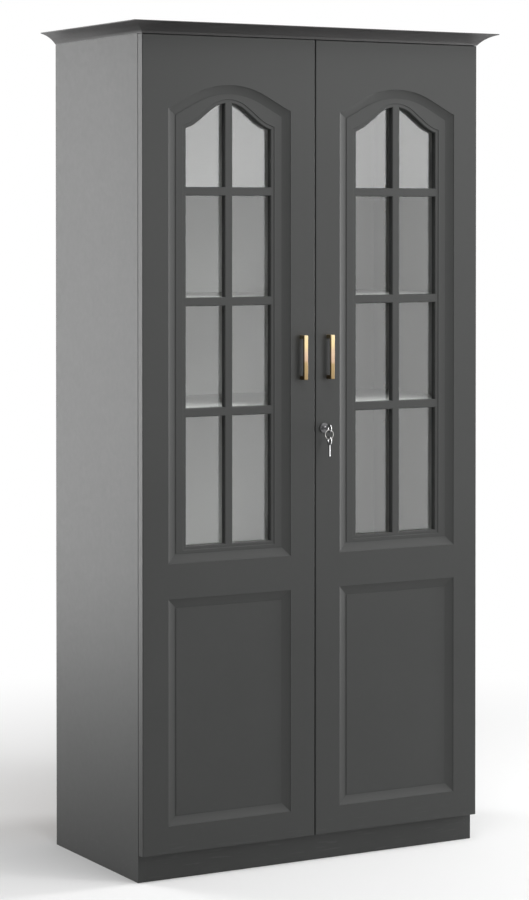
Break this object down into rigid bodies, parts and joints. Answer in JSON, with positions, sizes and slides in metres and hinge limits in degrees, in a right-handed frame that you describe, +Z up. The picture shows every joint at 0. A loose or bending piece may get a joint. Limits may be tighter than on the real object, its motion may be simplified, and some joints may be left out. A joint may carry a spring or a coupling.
{
  "type": "bookcase with glass doors",
  "caption": "Tall bookcase with two arched, glazed and panelled doors, bar pulls, a lock with keys, inner shelves, plinth and a flared cornice.",
  "frame": {"origin": "on the floor, under the middle of the overall box", "axes": "+Z up, +X to the right seen from the front, +Y to the back; the doors face -Y"},
  "size_m": [0.994, 0.5056, 1.975],
  "materials": {
    "grey_lacquer": "satin lacquer on fibreboard",
    "inner_board": "light grey faced board",
    "clear_glass": "clear polished",
    "brass": "polished brass",
    "nickel_steel": "nickel plated steel",
    "bright_chrome": "bright chrome plate",
    "dark_nickel": "dark nickel plate",
    "zinc": "zinc plated steel",
    "clip_plastic": "moulded plastic",
    "bumper_rubber": "soft clear rubber",
    "catch_plastic": "moulded plastic",
    "beech": "plain beech"
  },
  "bodies": {
    "cabinet": {"left_side_panel": "grey_lacquer", "right_side_panel": "grey_lacquer", "top_panel": "inner_board", "bottom_panel": "inner_board", "back_panel": "inner_board", "plinth_board": "grey_lacquer", "rear_plinth_rail": "grey_lacquer", "fixed_shelf": "inner_board", "lower_shelf": "inner_board", "upper_shelf_1": "inner_board", "upper_shelf_2": "inner_board", "upper_shelf_3": "inner_board", "cornice_core": "grey_lacquer", "cornice_front": "grey_lacquer", "cornice_left": "grey_lacquer", "cornice_right": "grey_lacquer", "shelf_pins": "zinc", "carcass_dowels": "beech", "cam_fittings": "zinc", "magnetic_catches": "catch_plastic", "left_hinge_plates": "nickel_steel", "left_hinge_arms": "nickel_steel", "left_plate_screws": "nickel_steel", "right_hinge_plates": "nickel_steel", "right_hinge_arms": "nickel_steel", "right_plate_screws": "nickel_steel"},
    "left_door": {"left_door_slab": "grey_lacquer", "left_door_glass": "clear_glass", "left_glass_clips": "clip_plastic", "left_clip_screws": "nickel_steel", "left_hinge_cups": "nickel_steel", "left_hinge_pins": "nickel_steel", "left_cup_screws": "nickel_steel", "left_handle": "brass", "left_handle_screws": "nickel_steel", "left_catch_plate": "nickel_steel", "left_door_bumpers": "bumper_rubber", "bolt_housings": "zinc", "bolt_screws": "nickel_steel"},
    "right_door": {"right_door_slab": "grey_lacquer", "right_door_glass": "clear_glass", "right_glass_clips": "clip_plastic", "right_clip_screws": "nickel_steel", "right_hinge_cups": "nickel_steel", "right_hinge_pins": "nickel_steel", "right_cup_screws": "nickel_steel", "right_handle": "brass", "right_handle_screws": "nickel_steel", "right_catch_plate": "nickel_steel", "right_door_bumpers": "bumper_rubber", "lock_barrel": "dark_nickel", "lock_nut": "nickel_steel"},
    "top_bolt": {"top_bolt": "zinc"},
    "bottom_bolt": {"bottom_bolt": "zinc"},
    "lock_cylinder": {"lock_plug": "dark_nickel", "lock_cam": "nickel_steel", "cam_screw": "nickel_steel", "key": "bright_chrome"},
    "key_ring": {"key_ring": "bright_chrome"},
    "spare_key": {"spare_key": "bright_chrome"}
  },
  "joints": [
    {"name": "left_door_hinge", "type": "hinge", "parent": "cabinet", "child": "left_door", "pos_m": [-0.4505, -0.20075, 1.005], "axis": [0, 0, -1], "range_deg": [0, 95]},
    {"name": "right_door_hinge", "type": "hinge", "parent": "cabinet", "child": "right_door", "pos_m": [0.4505, -0.20075, 1.005], "axis": [0, 0, 1], "range_deg": [0, 95]},
    {"name": "key_turn", "type": "hinge", "parent": "right_door", "child": "lock_cylinder", "pos_m": [0.024, -0.19075, 1.03], "axis": [0, 1, 0], "range_deg": [0, 90]},
    {"name": "key_ring_swing", "type": "hinge", "parent": "lock_cylinder", "child": "key_ring", "pos_m": [0.024, -0.23725, 1.02655], "axis": [-1, 0, 0], "range_deg": [-10, 60]},
    {"name": "spare_key_swing", "type": "hinge", "parent": "key_ring", "child": "spare_key", "pos_m": [0.024, -0.23725, 1.00455], "axis": [-1, 0, 0], "range_deg": [-8, 30]},
    {"name": "top_bolt_slide", "type": "slide", "parent": "left_door", "child": "top_bolt", "axis": [0, 0, 1], "range_m": [0, 0.013]},
    {"name": "bottom_bolt_slide", "type": "slide", "parent": "left_door", "child": "bottom_bolt", "axis": [0, 0, -1], "range_m": [0, 0.013]}
  ]
}
